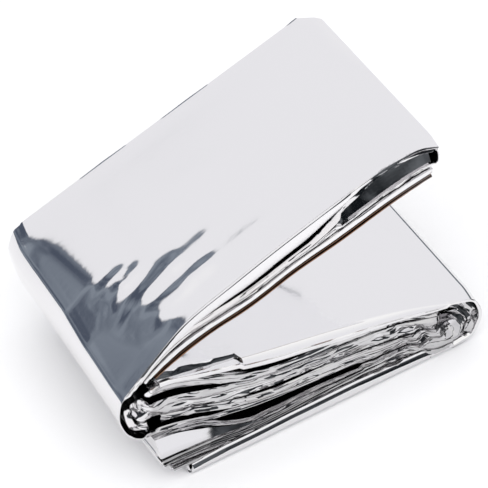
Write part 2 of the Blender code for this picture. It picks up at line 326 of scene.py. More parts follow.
# How each ply's front edge is finished, from place to place along x. Over and under are how far
# the folded edge stands above and below the ply's middle (0 leaves it to fill its gap), forward
# is how far it stands out at the front, fill is the share of the gap that it fills, ridged is
# how plainly its film folds show, lean tips their faces back, crush gathers the edge into
# facets, and the last is how much painted brown shade lies along the rim, for the shaded gap
# under the edge.
Edge = namedtuple("Edge", "where ply x over under forward fill ridged lean crush bronze")
EDGES = (
    Edge(TOP, 6, 2, 0.25, 1.2, 0.3, 0.46, 0.0, 0.0, 0.0, 0.0),
    Edge(TOP, 6, 9, 0.25, 2.7, 0.3, 0.46, 0.0, 0.0, 0.0, 0.0),
    Edge(TOP, 6, 26, 0.25, 3.8, 0.5, 0.46, 0.0, 0.0, 0.0, 0.0),
    Edge(TOP, 6, 42, 0.25, 5.0, 0.5, 0.46, 0.0, 0.0, 0.0, 0.0),
    Edge(TOP, 6, 60, 0.25, 4.7, 0.5, 0.46, 0.0, 0.0, 0.0, 0.0),
    Edge(TOP, 6, 72, 0.25, 2.7, 0.4, 0.46, 0.0, 0.0, 0.0, 0.0),
    Edge(TOP, 6, 78, 0.25, 1.0, 0.3, 0.46, 0.2, 0.4, 0.0, 0.0),
    Edge(TOP, 6, 84, 0.25, 0.9, 0.2, 0.46, 0.9, 1.2, 0.0, 0.0),
    Edge(TOP, 6, 104, 0.25, 0.6, 0.1, 0.46, 0.9, 1.2, 0.0, 0.0),
    Edge(TOP, 5, 10, 0, 0, 0.0, 0.36, 0.4, 0.2, 0.0, 0.1),
    Edge(TOP, 5, 70, 0, 0, 0.0, 0.36, 0.6, 0.3, 0.0, 0.1),
    Edge(TOP, 5, 76, 0, 0.4, 0.0, 0.36, 0.9, 1.0, 0.1, 0.0),
    Edge(TOP, 5, 104, 0, 0.4, 0.0, 0.36, 0.9, 1.0, 0.1, 0.0),
    Edge(TOP, 4, 10, 0, 0, 0.0, 0.40, 0.6, 0.3, 0.0, 0.1),
    Edge(TOP, 4, 70, 0, 0, 0.0, 0.40, 0.6, 0.3, 0.0, 0.0),
    Edge(TOP, 4, 76, 0.3, 0, 0.0, 0.40, 0.6, 0.2, 0.1, 0.0),
    Edge(TOP, 4, 104, 0.35, 0, 0.0, 0.40, 0.6, 0.2, 0.2, 0.0),
    Edge(TOP, 3, 10, 0, 0, 0.4, 0.48, 0.2, 0.0, 0.0, 0.0),
    Edge(TOP, 2, 10, 0, 0, 0.4, 0.42, 0.2, 0.0, 0.0, 0.0),
    Edge(TOP, 1, 10, 0, 0.9, 0.2, 0.34, 0.15, 0.7, 0.0, 1.0),
    Edge(TOP, 1, 84, 0, 0.9, 0.2, 0.34, 0.15, 0.7, 0.0, 1.0),
    Edge(TOP, 1, 98, 0, 0.9, 0.2, 0.34, 0.3, 0.8, 0.0, 0.7),
    Edge(MIDDLE, 1, 4, 0.25, 0, 0.0, 0.40, 0.2, 0.0, 0.0, 0.0),
    Edge(MIDDLE, 1, 37, 0.25, 0, 0.2, 0.42, 0.2, 0.0, 0.0, 0.0),
    Edge(MIDDLE, 1, 104, 0.25, 0, 0.2, 0.36, 0.2, 0.0, 0.0, 0.0),
    Edge(MIDDLE, 2, 8, 0, 0, 0.0, 0.40, 0.9, 0.4, 0.4, 0.0),
    Edge(MIDDLE, 2, 30, 0, 0, 0.0, 0.46, 0.8, 0.2, 0.0, 0.0),
    Edge(MIDDLE, 2, 60, 0, 0, 0.0, 0.46, 0.9, 0.6, 0.0, 0.0),
    Edge(MIDDLE, 2, 90, 0, 0, 0.0, 0.46, 0.9, 0.5, 0.3, 0.0),
    Edge(MIDDLE, 2, 97, 0, 0, 0.0, 0.49, 0.6, 0.6, 1.0, 0.0),
    Edge(MIDDLE, 3, 6, 0, 0, 0.1, 0.46, 0.9, 0.4, 0.7, 0.0),
    Edge(MIDDLE, 3, 24, 0, 0, 0.1, 0.47, 0.9, 0.3, 0.2, 0.0),
    Edge(MIDDLE, 3, 60, 0, 0, 0.1, 0.44, 0.9, 0.4, 0.1, 0.0),
    Edge(MIDDLE, 3, 88, 0, 0, 0.1, 0.46, 0.9, 0.3, 0.4, 0.0),
    Edge(MIDDLE, 3, 97, 0, 0, 0.0, 0.49, 0.6, 0.6, 1.0, 0.0),
    Edge(MIDDLE, 4, 6, 0, 0, 0.0, 0.48, 0.9, 0.4, 0.9, 0.0),
    Edge(MIDDLE, 4, 24, 0, 0, -1.0, 0.47, 0.9, 0.3, 0.2, 0.0),
    Edge(MIDDLE, 4, 88, 0, 0, -0.9, 0.44, 0.9, 0.3, 0.4, 0.0),
    Edge(MIDDLE, 4, 97, 0, 0, 0.0, 0.49, 0.6, 0.6, 1.0, 0.0),
    Edge(MIDDLE, 5, 6, 0, 0, 0.0, 0.48, 0.9, 0.4, 0.8, 0.0),
    Edge(MIDDLE, 5, 24, 0, 0, 0.0, 0.46, 0.9, 0.4, 0.2, 0.0),
    Edge(MIDDLE, 5, 88, 0, 0, 0.0, 0.44, 0.9, 0.4, 0.2, 0.0),
    Edge(MIDDLE, 5, 97, 0, 0, 0.0, 0.48, 0.6, 0.6, 1.0, 0.0),
    Edge(MIDDLE, 6, 4, 0, 0.7, 0.2, 0.46, 0.6, 0.2, 0.3, 0.0),
    Edge(MIDDLE, 6, 24, 0, 0.7, 0.1, 0.44, 0.8, 0.3, 0.1, 0.0),
    Edge(MIDDLE, 6, 30, 0, 0.3, 0.0, 0.40, 0.8, 0.6, 0.0, 0.0),
    Edge(MIDDLE, 6, 60, 0, 0.3, 0.0, 0.40, 0.8, 0.6, 0.0, 0.0),
    Edge(MIDDLE, 6, 76, 0, 0, 0.0, 0.42, 0.8, 0.5, 0.1, 0.0),
    Edge(MIDDLE, 6, 97, 0, 0, 0.0, 0.49, 0.6, 0.6, 1.0, 0.0),
    Edge(BOTTOM, 6, 6, 0.3, 0, 0.0, 0.40, 0.7, 0.5, 0.2, 0.0),
    Edge(BOTTOM, 6, 24, 0.3, 0, -0.2, 0.46, 0.9, 0.9, 0.0, 0.0),
    Edge(BOTTOM, 6, 60, 0.3, 0, -0.3, 0.46, 0.9, 1.2, 0.0, 0.0),
    Edge(BOTTOM, 6, 76, 0, 0, -0.1, 0.44, 0.9, 0.9, 0.0, 0.0),
    Edge(BOTTOM, 6, 97, 0, 0, 0.0, 0.49, 0.6, 0.6, 1.0, 0.0),
    Edge(BOTTOM, 5, 20, 0, 0, 0.3, 0.46, 0.9, 1.2, 0.0, 0.0),
    Edge(BOTTOM, 5, 60, 0, 0, 0.4, 0.46, 0.9, 1.2, 0.1, 0.0),
    Edge(BOTTOM, 5, 88, 0, 0, -0.1, 0.46, 0.9, 0.9, 0.2, 0.0),
    Edge(BOTTOM, 5, 97, 0, 0, 0.0, 0.49, 0.6, 0.6, 1.0, 0.0),
    Edge(BOTTOM, 4, 30, 0, 0, -1.6, 0.46, 0.9, 1.0, 0.1, 0.0),
    Edge(BOTTOM, 4, 88, 0, 0, -1.2, 0.46, 0.9, 0.9, 0.4, 0.0),
    Edge(BOTTOM, 4, 97, 0, 0, 0.0, 0.49, 0.6, 0.6, 1.0, 0.0),
    Edge(BOTTOM, 3, 30, 0, 0, 0.5, 0.46, 0.8, 1.1, 0.1, 0.0),
    Edge(BOTTOM, 3, 88, 0, 0, 0.1, 0.46, 0.9, 0.9, 0.4, 0.0),
    Edge(BOTTOM, 3, 97, 0, 0, 0.0, 0.49, 0.6, 0.6, 1.0, 0.0),
    Edge(BOTTOM, 2, 30, 0, 0, -0.6, 0.40, 0.8, 1.2, 0.1, 0.0),
    Edge(BOTTOM, 2, 88, 0, 0, -0.6, 0.44, 0.9, 1.0, 0.2, 0.0),
    Edge(BOTTOM, 2, 97, 0, 0, -0.1, 0.49, 0.6, 0.6, 1.0, 0.0),
    Edge(BOTTOM, 1, 14, 3.0, 0.25, 1.4, 0.40, 0.0, 0.0, 0.0, 0.0),
    Edge(BOTTOM, 1, 27, 4.0, 0.25, 1.6, 0.40, 0.0, 0.0, 0.0, 0.0),
    Edge(BOTTOM, 1, 44, 4.4, 0.25, 1.6, 0.40, 0.0, 0.0, 0.0, 0.0),
    Edge(BOTTOM, 1, 54, 4.6, 0.25, 1.8, 0.40, 0.0, 0.0, 0.0, 0.0),
    Edge(BOTTOM, 1, 69, 4.8, 0.25, 1.8, 0.40, 0.0, 0.0, 0.0, 0.0),
    Edge(BOTTOM, 1, 92, 3.6, 0.25, 1.2, 0.40, 0.0, 0.0, 0.0, 0.0),
    Edge(BOTTOM, 1, 104, 2.2, 0.25, 0.9, 0.40, 0.0, 0.0, 0.0, 0.0),
)
EDGE_FIELDS = Edge._fields[3:]
EDGE_MOST = 1.4  # an edge swells no more than this on either side unless it is asked to
LIP_FROM, LIP_GROWS = 1.4, 0.6  # an edge asked to stand further than this is an overhanging lip
OPEN_GAP = 12.0  # above this the space beside a ply is open air, and its edge stays thin
CLEAR = 0.93  # the share of a gap that film may take without touching the next ply


def round_the_bends(values):
    """Carries the flaps' values on through the folds and turns between them."""
    return np.interp(np.arange(columns), np.nonzero(in_flap)[0], values[in_flap])


def edge_value(flap, ply_number, x, name):
    rows = [e for e in EDGES if e.where == flap and e.ply == ply_number]
    return float(np.interp(x, [e.x for e in rows], [getattr(e, name) for e in rows]))


edge = {}
for name in EDGE_FIELDS:
    asked = np.zeros(columns)
    for k in np.nonzero(in_flap)[0]:
        asked[k] = edge_value(where[k], int(round(ply[k])), x0[k], name)
    edge[name] = round_the_bends(asked)

# In the top and bottom flaps of an even ply, and the middle flap of an odd one, the strip runs
# leftwards, so its left-hand side is the under side
odd = np.round(ply).astype(int) % 2 == 1
leftwards = np.where(np.isin(where, (TOP, BOTTOM)), ~odd, odd)
left_face = round_the_bends(np.where(leftwards, edge["under"], edge["over"]))
right_face = round_the_bends(np.where(leftwards, edge["over"], edge["under"]))


def swell(free, asked, fill):
    """How far a ply's edge swells to one side: as asked, or enough to fill its gap."""
    filled = np.minimum(free * fill, EDGE_MOST)
    filled = np.where(free > OPEN_GAP, FILM_HALF + 0.1, filled)
    overhang = np.where(where == BOTTOM, 2.4, 0.6) * (asked > LIP_FROM)
    return np.where(asked > 0.05, np.minimum(asked, CLEAR * free + overhang), filled)


BACK_FILL = 0.40
left_out = swell(front_free[0], left_face, edge["fill"])
right_out = swell(front_free[1], right_face, edge["fill"])
left_back = swell(back_free[0], np.zeros(columns), BACK_FILL)
right_back = swell(back_free[1], np.zeros(columns), BACK_FILL)
left_film = np.minimum(FILM_HALF, 0.4 * np.minimum(front_free[0], back_free[0]))
right_film = np.minimum(FILM_HALF, 0.4 * np.minimum(front_free[1], back_free[1]))
right_film[outermost] = FILM_HALF

# Creases of the top film: narrow ridges along the flap, with a flat, bright near side and a
# far side that turns away from the light
Crease = namedtuple("Crease", "x0 y0 x1 y1 rise width")
CREASES = (
    Crease(x0=6.0, y0=32.8, x1=18.0, y1=34.6, rise=0.36, width=1.6),
    Crease(x0=7.4, y0=29.0, x1=14.6, y1=30.2, rise=0.30, width=1.4),
    Crease(x0=6.0, y0=24.6, x1=21.0, y1=31.4, rise=0.46, width=1.9),
    Crease(x0=9.0, y0=17.6, x1=30.0, y1=23.2, rise=0.80, width=2.8),
    Crease(x0=26.0, y0=21.6, x1=42.0, y1=23.0, rise=0.24, width=2.8),
    Crease(x0=12.0, y0=12.2, x1=37.0, y1=13.2, rise=0.56, width=2.1),
    Crease(x0=29.0, y0=12.8, x1=58.0, y1=12.4, rise=0.20, width=2.9),
    Crease(x0=14.0, y0=8.6, x1=28.0, y1=10.4, rise=0.30, width=1.8),
    Crease(x0=40.0, y0=52.0, x1=78.0, y1=40.0, rise=0.04, width=5.0),
    Crease(x0=60.0, y0=12.0, x1=98.0, y1=17.0, rise=0.03, width=5.0),
)


def crease_rise(x, y):
    """How far the creases lift the top film."""
    rise = 0.0 * x
    for c in CREASES:
        run = np.array((c.x1 - c.x0, c.y1 - c.y0))
        length = np.hypot(*run)
        along = ((x - c.x0) * run[0] + (y - c.y0) * run[1]) / length
        across = ((y - c.y0) * run[0] - (x - c.x0) * run[1]) / length
        fade = np.clip(np.minimum(along, length - along) / (0.3 * length) + 0.4, 0.0, 1.0)
        side = np.where(across > 0, c.width, c.width * 2.0)
        rise = rise + c.rise * fade * np.exp(-(across / side) ** 2)
    return rise


# The packet's corners are drawn in a little where the folds round off: how far from a corner
# that starts, and how far the film gives way there
CORNER_LENGTH, CORNER_DEPTH, BOTTOM_CORNER_DEPTH = 26.0, 6.0, 26.0
LEFT_BACK_CUT, BOTTOM_LEFT_BACK_CUT = 0.9, 3.2
RIGHT_FRONT_CUT, RIGHT_BACK_CUT, TOP_RIGHT_BACK_CUT = 0.8, 2.4, 5.2


def corner_cut(x, y, flap):
    """How far each point near a corner moves along x."""
    at_back, low = y > DEPTH / 2, np.isin(flap, (BOTTOM, BOTTOM_END))
    from_edge = np.minimum(y, DEPTH - y)
    near = np.clip(1.0 - from_edge / np.where(low, BOTTOM_CORNER_DEPTH, CORNER_DEPTH), 0.0, 1.0)
    left = np.clip(1.0 - x / CORNER_LENGTH, 0.0, 1.0)
    right = np.clip(1.0 - (RIGHT_FOLD_X - x) / CORNER_LENGTH, 0.0, 1.0)
    left_cut = np.where(at_back, np.where(low, BOTTOM_LEFT_BACK_CUT, LEFT_BACK_CUT), 0.0)
    right_back = np.where(np.isin(flap, (TOP, TOP_END)), TOP_RIGHT_BACK_CUT, RIGHT_BACK_CUT)
    return near * (left_cut * left - np.where(at_back, right_back, RIGHT_FRONT_CUT) * right)


SPINE_CREASE_X = -0.9
FRONT_STEP = (0.6, 0.1, 0.6, 0.1, 0.5, 0.3)  # how far each ply's front edge stands out
BOTTOM_TURN = math.radians(4.2)  # the bottom flap lies askew, turned about the right fold
TURN_PIVOT = (107.0, 0.0)
turned = np.where(where == RIGHT, bend_share, np.isin(where, (BOTTOM, BOTTOM_END)))
# The top film takes its own height, and gives it up round the left fold
on_top = np.where(where == LEFT, np.clip((0.5 - bend_share) / 0.38, 0, 1), where == TOP)
on_top = on_top * (ply > PLIES - 0.5)


def placed(column, depth, offset):
    """Points of the strip: a column of the path, a depth from the front, an offset off the ply."""
    share = np.clip(depth / DEPTH, 0.0, 1.0)
    to_back = share[:, None]
    middle = front[column] * (1 - to_back) + back[column] * to_back
    normal = front_normal[column] * (1 - to_back) + back_normal[column] * to_back
    at = middle + normal / np.hypot(normal[:, 0], normal[:, 1])[:, None] * offset[:, None]
    x, z, y = at[:, 0], at[:, 1], depth.copy()

    inside = np.clip(depth, 0, DEPTH)
    at_x = np.maximum(middle[:, 0], SPINE_CREASE_X)
    straight = film_height(at_x, 0.0) * (1 - share) + film_height(at_x, DEPTH) * share
    lift = film_height(at_x, inside) - straight
    lift = lift + crease_rise(middle[:, 0], depth) * np.clip(depth / 8.0, 0, 1)
    cut = corner_cut(x, depth, where[column])
    slope = film_height(middle[:, 0] + cut, inside) - film_height(middle[:, 0], inside)
    z = z + on_top[column] * (lift + slope * (where[column] == TOP))
    x = x + cut
    y = y - np.interp(ply[column], range(1, PLIES + 1), FRONT_STEP) * (1 - depth / DEPTH)

    angle = BOTTOM_TURN * turned[column]
    dx, dy = x - TURN_PIVOT[0], y - TURN_PIVOT[1]
    x = TURN_PIVOT[0] + dx * np.cos(angle) - dy * np.sin(angle)
    y = TURN_PIVOT[1] + dx * np.sin(angle) + dy * np.cos(angle)
    return np.column_stack((x, y, z)) + np.array(PACKET_AT)


def hashed(i, j, seed):
    """A repeatable number from -1 to 1 for each whole-numbered pair."""
    n = (i.astype(np.int64) * 73856093) ^ (j.astype(np.int64) * 19349663) ^ (seed * 83492791)
    n = (n ^ (n >> 13)) * 1274126177 & 0x7FFFFFFF
    n = (n ^ (n >> 16)) & 0xFFFF
    return n / 32767.5 - 1.0


def facets(u, v, seed):
    """Creased noise: flat triangles between random heights, as crushed film lies."""
    skew = (u + v) * 0.366025
    a, b = u + skew, v + skew
    i, j = np.floor(a), np.floor(b)
    fa, fb = a - i, b - j
    near = hashed(i, j, seed)
    far = hashed(i + 1, j + 1, seed)
    mid = np.where(fa > fb, hashed(i + 1, j, seed), hashed(i, j + 1, seed))
    high, low = np.maximum(fa, fb), np.minimum(fa, fb)
    return near * (1 - high) + mid * (high - low) + far * low


# The cross-section of the strip, as depths behind the front edge and shares of the way from the
# film's thickness out to the edge's own. A swollen edge is where the film folds back on itself;
# a lip is where the outermost film hangs over its neighbours.
SWELL = ((0.1, 1.0), (0.5, 0.9), (1.4, 0.68), (2.8, 0.36), (4.6, 0.12), (7.0, 0.0))
LIP = ((0.6, 1.0), (1.1, 0.94), (1.3, 0.5), (1.9, 0.08), (3.4, 0.02), (7.0, 0.0))
INNER_DEPTHS = (12.0, 28.0, 52.0, 70.0)
FINE_DEPTHS = tuple(np.linspace(8.6, 73.0, 46))
BACK_SWELL = ((75.5, 0.15), (78.3, 0.55), (79.6, 1.0))


def side_rows(out, film, lip, fine=False):
    """Depths and offsets of one side of one column, from the front edge to the back."""
    rows = []
    for (swell_y, swell_share), (lip_y, lip_share) in zip(SWELL, LIP):
        share = swell_share + (lip_share - swell_share) * lip
        rows.append((swell_y + (lip_y - swell_y) * lip, film + (out[0] - film) * share))
    rows += [(y, film) for y in (FINE_DEPTHS if fine else INNER_DEPTHS)]
    rows += [(y, film + (out[1] - film) * share) for y, share in BACK_SWELL]
    return rows


# In the top flap's free end the edges part, and leave a dark hollow behind the front edge
HOLLOW_PLY, HOLLOW_FROM_X, HOLLOW_FULL_IN = 4, 69.0, 8.0
hollow = np.clip((x0 - HOLLOW_FROM_X) / HOLLOW_FULL_IN, 0, 1)
hollow = hollow * (where == TOP) * (np.abs(ply - HOLLOW_PLY) < 0.1)


def close_hollow(k, right, out):
    """The lowest ply of the hollow end rises behind its edge and closes the hollow."""
    high = front_free[1][k]
    climb = 0.43 * high * hollow[k] / 1.8
    depths = np.array((0.1, 0.5, 0.95, 0.95 + climb, 0.95 + 2 * climb, 1.6 + 2 * climb))
    shares = (0.0, 0.0, 0.0, 0.47, 0.93, 0.93)
    crumple = 0.35 * facets(np.full(6, path_length[k] / 5.0), depths / 2.4, 37)
    crumple[:3] = 0.0
    for i, (y, share) in enumerate(zip(depths, shares)):
        swollen = out + ((high - out) * share + crumple[i]) * hollow[k]
        right[i] = (y, min(swollen, CLEAR * high))


# The middle flap's top film rolls over its front edge by this much
DROOP_X = (4, 9, 22, 30, 36.9, 37.1, 46, 66, 86, 98, 104)
DROOP_Z = (1.9, 2.0, 1.6, 1.2, 0.8, 1.7, 2.0, 1.9, 1.4, 1.0, 0.4)
droop = np.interp(x0, DROOP_X, DROOP_Z) * (where == MIDDLE) * (ply < 1.1)
# At the left it lies in a slot, this deep, under a second layer with a torn and leaning edge
SLOT_END = 37.0
SLOT_X, SLOT_DEPTH = (4, 9, 22, 36), (0.2, 0.7, 2.0, 3.6)


def rolled_over(k):
    """The first rows of the middle flap's top side, behind its front edge."""
    drop, low, high = droop[k], right_film[k] - droop[k], right_film[k]
    if x0[k] >= SLOT_END:
        rows = [(1.2 * drop * t, high - drop * (1 - t) ** 1.5) for t in (0.03, 0.2, 0.42, 0.66, 0.9)]
        return rows + [(1.5 * drop, high)]
    torn = facets(np.array((x0[k] / 3.7, x0[k] / 5.3)), np.array((0.4, 2.7)), 41)
    slot = max(float(np.interp(x0[k], SLOT_X, SLOT_DEPTH)) + 0.35 * torn[0], 0.15)
    reach = slot + (0.5 + 0.22 * torn[1]) * drop
    return [(0.1, low), (slot, low), (slot + 0.05, low + 0.05), (reach, high + 0.1),
            (reach + 0.6, high + 0.15), (7.6, high + 0.1)]


# At its left end the bottom flap's top film rises behind its edge and closes the wedge above it,
# the more steeply the further right
RISEN_END_X, RISEN_FULL_IN = 38.0, 16.0
WEDGE_X, WEDGE_SLOPE = (12, 18, 23, 27, 34), (1.12, 1.22, 1.31, 1.5, 1.8)
risen = np.clip((RISEN_END_X - x0) / RISEN_FULL_IN, 0, 1)
risen = risen * (where == BOTTOM) * (ply > PLIES - 0.1)


def close_wedge(k, right, out):
    """Lifts the rows of the bottom flap's top film towards the ply above."""
    rise = (CLEAR * front_free[1][k] - out) * risen[k]
    run = rise / float(np.interp(x0[k], WEDGE_X, WEDGE_SLOPE))
    climb = [(0.1, 0.0), (0.5, 0.0)] + [(0.9 + share * run, share) for share in (0.0, 0.33, 0.66, 1.0)]
    climb += [(right[i][0], share) for i, share in ((6, 0.9), (7, 0.5), (8, 0.1))]
    right[:9] = [(y, out + rise * share) for y, share in climb]


# A pit at the inner end of the wedge, where the inner plies are set back behind the nose
PITS = (((1.0, 28.4), (2.4, 30.2), (4.9, 31.5), (9.0, 33.0)), ((6.8, 19.2), (8.4, 18.9)))
PIT_HALF, PIT_WALL, PIT_DEPTH = 1.3, 0.3, 9.0


def set_back(at):
    """How deep behind the front edge one place of the section lies."""
    nearest = NOTHING_NEAR
    for pit in PITS:
        for (ax, az), (bx, bz) in zip(pit[:-1], pit[1:]):
            run = np.array((bx - ax, bz - az))
            t = np.clip(((at[0] - ax) * run[0] + (at[1] - az) * run[1]) / (run @ run), 0, 1)
            nearest = min(nearest, np.hypot(at[0] - ax - t * run[0], at[1] - az - t * run[1]))
    return PIT_DEPTH * float(np.clip((PIT_HALF + PIT_WALL - nearest) / PIT_WALL, 0, 1))


# The front face of an edge is the side of about twenty film layers. Each ridge stands for a few
# of them, much coarser than the real 24 micrometres, so that it shows
FACE_POINTS = 13
FOLD_PITCH = 1.2
FACETS_LONG, FACETS_HIGH = 5.0, 3.8  # crumpled facets of a crushed edge


def front_face(k, lo, ro, lip):
    """Depths and offsets of one column's front face, from its left side to its right."""
    t = np.linspace(0.0, 1.0, FACE_POINTS)
    t = t + lip * (t ** 0.45 - t if leftwards[k] else 1 - (1 - t) ** 0.45 - t) * 0.9
    offset = lo + (-ro - lo) * t
    width = max(lo + ro, 0.3)
    up = -1.0 if leftwards[k] else 1.0
    below_top = (ro if up < 0 else lo) - offset * up
    crushed, lean, bronze = edge["crush"][k], edge["lean"][k], edge["bronze"][k]
    u = np.full(FACE_POINTS, path_length[k])
    at_x, at_z = (front[k] + front_normal[k] * offset[:, None]).T

    # The face bulges, stands forward or lies back, and one with painted rim shade is tipped in at its
    # foot
    bulge = np.clip(np.sqrt(np.clip(1 - (2 * t - 1) ** 2, 0, 1)) * 1.5, 0, 1)
    stands = (lip > 0) & (where[k] == BOTTOM) & (below_top < 0.5 * width)
    round_off = bulge * (1 - 0.85 * crushed) * (1 - 0.8 * np.clip(lean - 0.2, 0, 1))
    tipped = 0.55 * bronze * np.clip(0.62 * width - below_top, 0, None)
    face_y = -edge["forward"][k] * np.where(stands, 1.0, bulge) * 0.7 - 0.25 * round_off + tipped

    # Film folds run along it as ridges, each with a far side that leans back and looks dark
    folds = max(1.0, round(width / FOLD_PITCH))
    rise = (offset * up + width / 2) / width
    wander = 0.7 * (1 - 0.8 * bronze) * facets(u / 30.0, u * 0 + ply[k] * 3.1, 5)
    dark = 0.22 + lean + 0.35 * facets(u / 18.0, rise * 2.0 + ply[k] * 5.7, 7)
    dark = np.clip(dark, 0.06, 0.92)
    phase = (rise * folds + wander) % 1.0
    tooth = np.where(phase < dark, phase / dark, (1 - phase) / (1 - dark)) * dark

    # Short creases streak them, and where the edge is crushed they turn to facets
    streak = facets(at_x / 24.0 - at_z / 30.0, at_z / 1.5 + at_x / 40.0, 11)
    streak = streak + 0.4 * facets(at_x / 11.0, at_z / 0.9 + at_x / 60.0, 13)
    streaky = (1.0 - 0.75 * np.clip((lean - 0.6) / 0.5, 0, 1)) * (1 - 0.9 * crushed)
    ridged = edge["ridged"][k] * (1 - 0.92 * crushed)
    face_y = face_y + ridged * (0.52 * (width / folds) * tooth - 0.28 * streaky * streak)
    brow = 1.6 if where[k] == BOTTOM else 0.8
    face_y = face_y + 0.55 * lip * np.clip(brow - below_top, 0, brow)
    crumple = facets(at_x / FACETS_LONG + at_z / 14.0, at_z / FACETS_HIGH, 23) * 2.8
    wholly = np.clip(2 * crushed - 1, 0, 1)
    face_y = face_y - crushed * crumple * np.maximum(bulge, wholly)

    # Both ends of the face stay near the sides that they meet
    for end in (0, -1):
        face_y[end] = np.clip(face_y[end], -0.25 - 1.6 * wholly, 0.4 + 1.6 * wholly)
    if stands.any():
        face_y[np.argmin(below_top)] = -0.7 * edge["forward"][k] + 0.55 * brow
    return list(zip(face_y, offset))


BACK_FACE_POINTS = 7


def back_face(k):
    """Depths and offsets of one column's back face, from its right side to its left."""
    t = np.linspace(0.0, 1.0, BACK_FACE_POINTS)
    offset = -right_back[k] + (left_back[k] + right_back[k]) * t
    bulge = np.sqrt(np.clip(1 - (2 * t - 1) ** 2, 0, 1))
    streak = facets(np.full(BACK_FACE_POINTS, path_length[k] / 13.0), offset / 0.8 + 9.7 * ply[k], 31)
    y = DEPTH + 0.35 * bulge + 0.25 * streak * np.clip(bulge * 1.3, 0, 1)
    return list(zip(y, offset))


# Each column is a closed ring of points: up its left side, over the front face, down its right
# side and across the back face
Ring = namedtuple("Ring", "start points right_from right_points")
points, rings = [], []
for k in range(columns):
    lip_left, lip_right = (float(np.clip((face[k] - LIP_FROM) / LIP_GROWS, 0, 1))
                           for face in (left_face, right_face))
    lip = max(lip_left, lip_right)
    size = 0.5 if where[k] in (TOP_END, BOTTOM_END) else 1.0
    lo, ro = left_out[k] * size, right_out[k] * size
    if where[k] == LEFT and ply[k] > PLIES - 0.1:
        # Round the nose the outer film shows no more than its own thickness
        bare = float(np.clip(min(bend_share[k], 1 - bend_share[k]) / 0.08, 0, 1))
        lo, lip_left = lo + (-0.08 - lo) * bare, 0.0
    left = side_rows((lo, left_back[k]), left_film[k], lip_left)
    right = side_rows((ro, right_back[k]), right_film[k], lip_right, fine=outermost[k])
    if hollow[k] > 0:
        close_hollow(k, right, ro)
    if droop[k] > 0:
        left = [(y, o + droop[k] * np.clip(1 - y / 6.0, 0, 1) ** 0.5) for y, o in left]
        right[:6] = rolled_over(k)
        lo, ro = lo + droop[k], right[0][1]
    if risen[k] > 0:
        close_wedge(k, right, ro)
    face = front_face(k, lo, ro, lip)

    # The sides follow the face forward, and those of the bottom lip start behind its ends
    forward = edge["forward"][k] * 0.6
    sides = []
    for side, start in ((left, face[0][0]), (right, face[-1][0])):
        side = [(y - forward * (1 - np.clip(y / 4, 0, 1)), o) for y, o in side]
        if lip > 0 and where[k] == BOTTOM:
            side = [(max(y, start + 0.05 * (i + 1)), o) for i, (y, o) in enumerate(side)]
        sides.append(side)
    pit = set_back(front[k]) if ply[k] < PLIES - 0.1 and where[k] in (LEFT, MIDDLE) else 0.0
    ring = sides[0][::-1] + face + [(y, -o) for y, o in sides[1]] + back_face(k)
    rings.append(Ring(len(points), len(ring), len(left) + FACE_POINTS, len(right)))
    points += [(k, y + pit * (1 - y / DEPTH), o) for y, o in ring]

points = np.array(points)
column, depth, offset = points[:, 0].astype(int), points[:, 1], points[:, 2]


def joined(a, b):
    """The faces between two neighbouring rings."""
    if a.points == b.points:
        steps = [(i, (i + 1) % a.points) for i in range(a.points)]
        return [(a.start + i, a.start + j, b.start + j, b.start + i) for i, j in steps]
    # A finely divided right side meets a plain one: the rows near the edges pair off, and
    # between them triangles take up the difference
    lead, tail = len(SWELL), len(BACK_SWELL)
    found = []
    for i in range(a.right_from + lead - 1):
        found.append((a.start + i, a.start + i + 1, b.start + i + 1, b.start + i))
    first = a.right_from + lead - 1
    i, i_last = a.start + first, a.start + a.right_from + a.right_points - tail
    j, j_last = b.start + first, b.start + b.right_from + b.right_points - tail
    while i < i_last or j < j_last:
        if j == j_last or (i < i_last and depth[i + 1] <= depth[j + 1]):
            found.append((i, i + 1, j))
            i += 1
        else:
            found.append((i, j + 1, j))
            j += 1
    for step in range(a.points - (i_last - a.start)):
        i, j = i_last - a.start + step, j_last - b.start + step
        found.append((a.start + i, a.start + (i + 1) % a.points,
                      b.start + (j + 1) % b.points, b.start + j))
    return found


faces = []
for a, b in zip(rings, rings[1:]):
    faces += joined(a, b)
faces.append(tuple(reversed(range(rings[0].points))))
faces.append(tuple(range(rings[-1].start, rings[-1].start + rings[-1].points)))

mesh = bpy.data.meshes.new("foil_blanket_film")
mesh.from_pydata((placed(column, depth, offset) * MM).tolist(), [], faces)
mesh.validate()
film = bpy.data.objects.new("foil_blanket_film", mesh)
bpy.context.scene.collection.objects.link(film)
mesh.shade_smooth()
mesh.set_sharp_from_angle(angle=math.radians(32))


def mark(name, values):
    """Gives every point of the film one number, for its material to read."""
    numbers = mesh.attributes.new(name, "FLOAT", "POINT")
    numbers.data.foreach_set("value", values.astype(np.float32))


# Painted brown shade along the rims, for the shaded gaps under the edges; painted light on the
# top flap's underside, lighter so that its reflection in the middle flap stays bright; and painted
# shade on the fronts where many layers lie edge to edge, for the shade between them, the most at
# the bottom flap's left end, where the layers are most open
RIM_DEPTH = 3.0
mark("bronze", edge["bronze"][column] * np.clip(1 - depth / RIM_DEPTH, 0, 1))
underside_painted_light = (where == TOP) & (ply < 1.1)
mark("underside_painted_light", underside_painted_light[column] * (offset < 0) * np.clip(depth / RIM_DEPTH, 0, 1))
painted_gap_shade = 0.425 + 0.38 * (where == BOTTOM) * np.clip((85.0 - x0) / 35.0, 0, 1)
painted_gap_shade *= np.isin(where, (MIDDLE, RIGHT, BOTTOM)) & (ply > 1.4)
mark("painted_gap_shade", painted_gap_shade[column] * np.clip(1.2 - depth, 0, 1))


def linear(hex_colour):
    """A #RRGGBB colour as the linear numbers that a shader takes."""
    channels = [int(hex_colour[i:i + 2], 16) / 255 for i in (1, 3, 5)]
    return tuple(c / 12.92 if c <= 0.04045 else ((c + 0.055) / 1.055) ** 2.4
                 for c in channels) + (1.0,)


